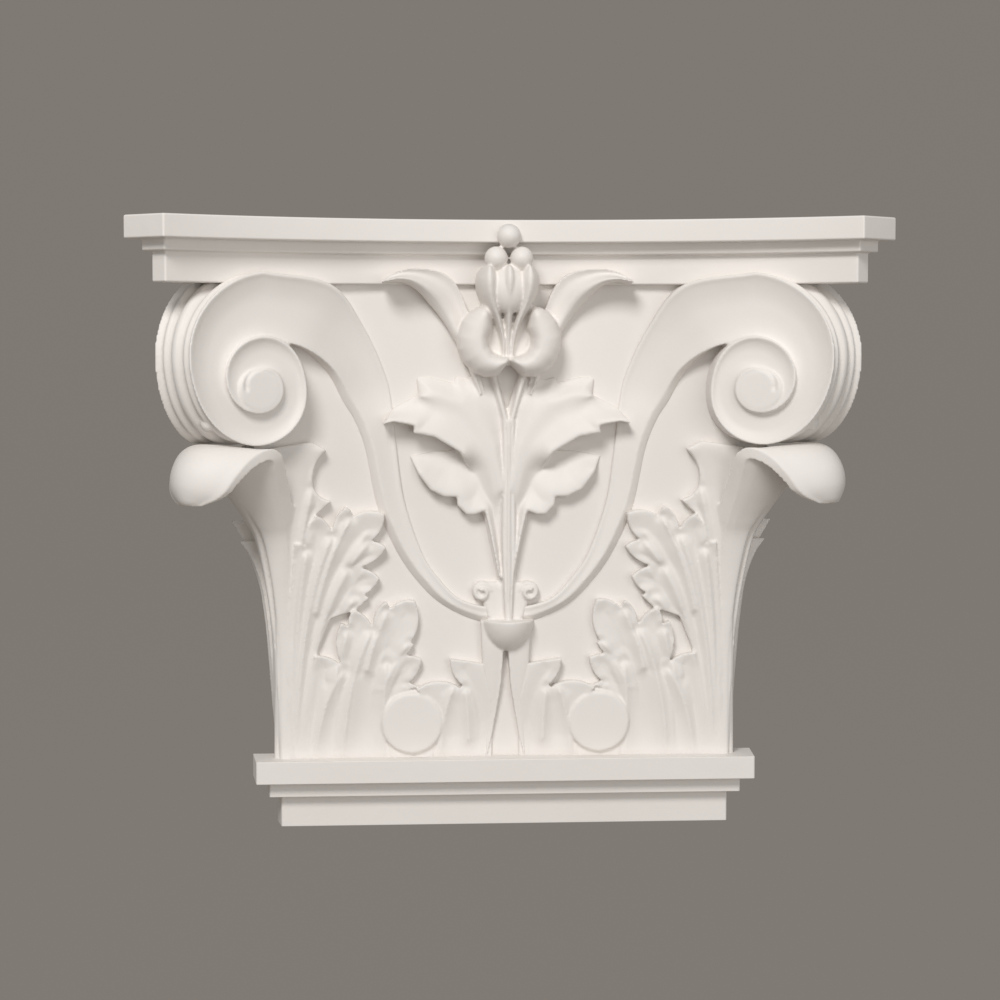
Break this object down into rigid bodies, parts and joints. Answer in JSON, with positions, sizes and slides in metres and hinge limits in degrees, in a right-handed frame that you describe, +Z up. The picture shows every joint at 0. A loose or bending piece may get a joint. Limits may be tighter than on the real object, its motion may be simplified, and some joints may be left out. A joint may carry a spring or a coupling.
{
  "type": "pilaster capital",
  "caption": "Corinthian pilaster capital with corner volutes, acanthus leaves, a central flower, a hollow-sided abacus and a flat back.",
  "frame": {"origin": "centre of the flat back, on the wall plane, half way up", "axes": "+X along the wall to the viewer's right, +Y into the wall, +Z up"},
  "size_m": [0.3616, 0.0858, 0.2956],
  "materials": {
    "primed_white": "matte white primer"
  },
  "bodies": {
    "root": {"capital": "primed_white"}
  },
  "joints": []
}
